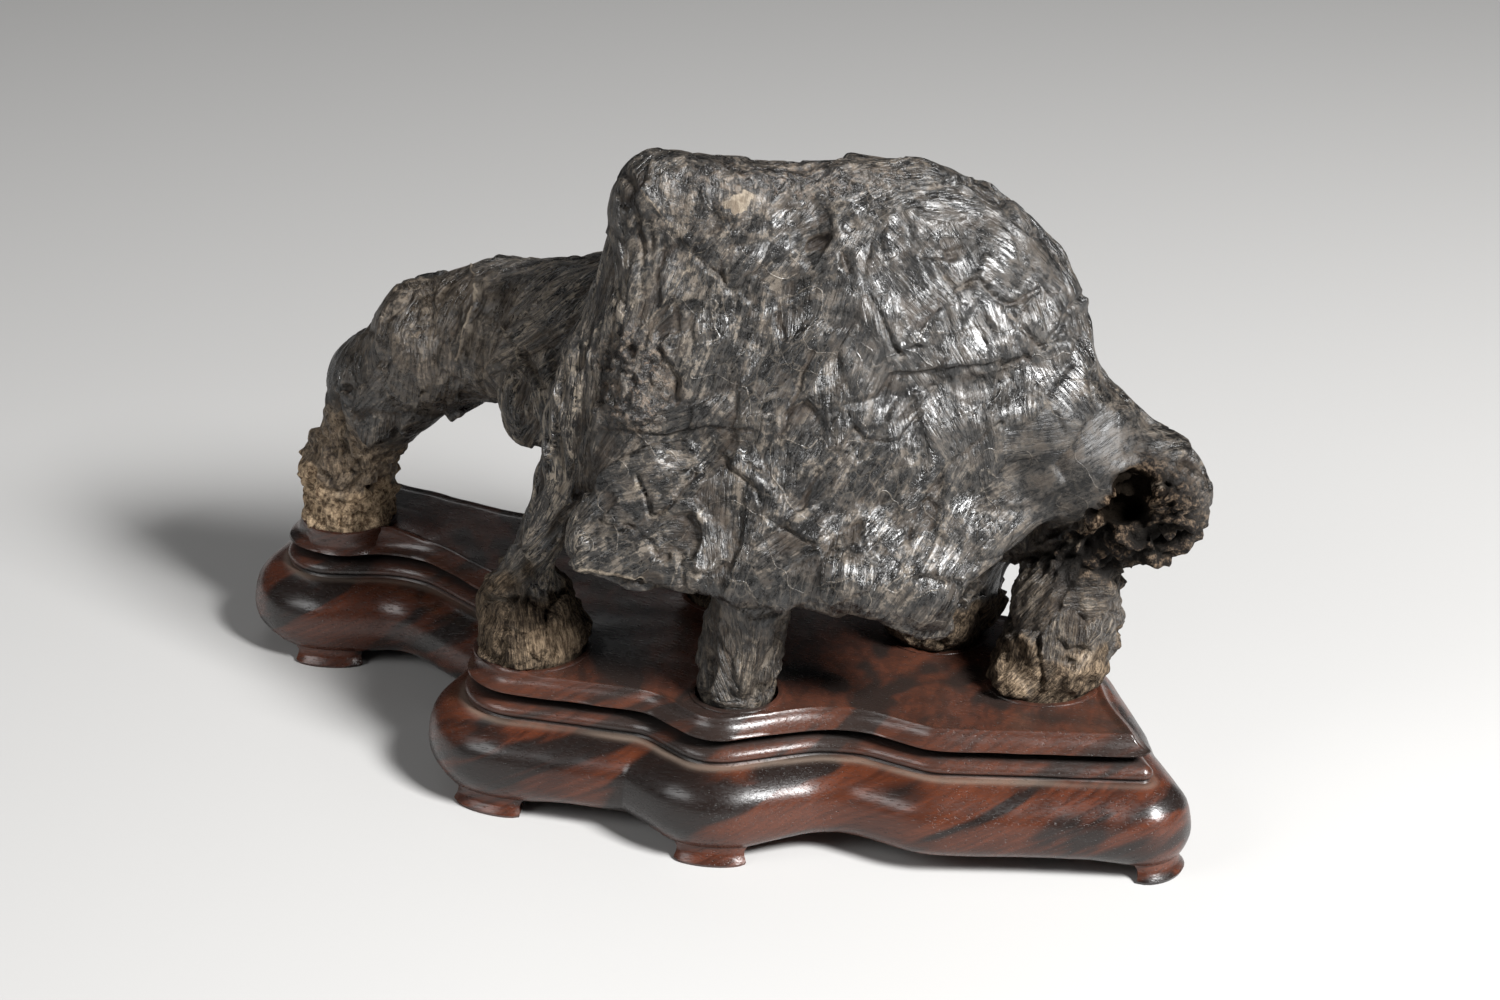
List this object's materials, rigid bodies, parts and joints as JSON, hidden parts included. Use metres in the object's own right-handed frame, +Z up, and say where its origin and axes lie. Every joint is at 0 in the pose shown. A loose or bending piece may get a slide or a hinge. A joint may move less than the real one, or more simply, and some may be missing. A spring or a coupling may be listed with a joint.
{
  "type": "scholar stone",
  "caption": "Dark root-like scholar's stone arching on several feet, let into sockets in a lobed, moulded hardwood stand with small curved feet.",
  "frame": {"origin": "middle of the whole object's box, on the table the stand's feet rest on", "axes": "+Z up, +X along the stand's long side towards the end with the knob of the stone, +Y towards the back"},
  "size_m": [0.293, 0.1212, 0.1726],
  "materials": {
    "stone": "patinated, semi-gloss, wrinkled",
    "stand": "polished"
  },
  "bodies": {
    "root": {"stone": "stone", "stand": "stand"}
  },
  "joints": []
}
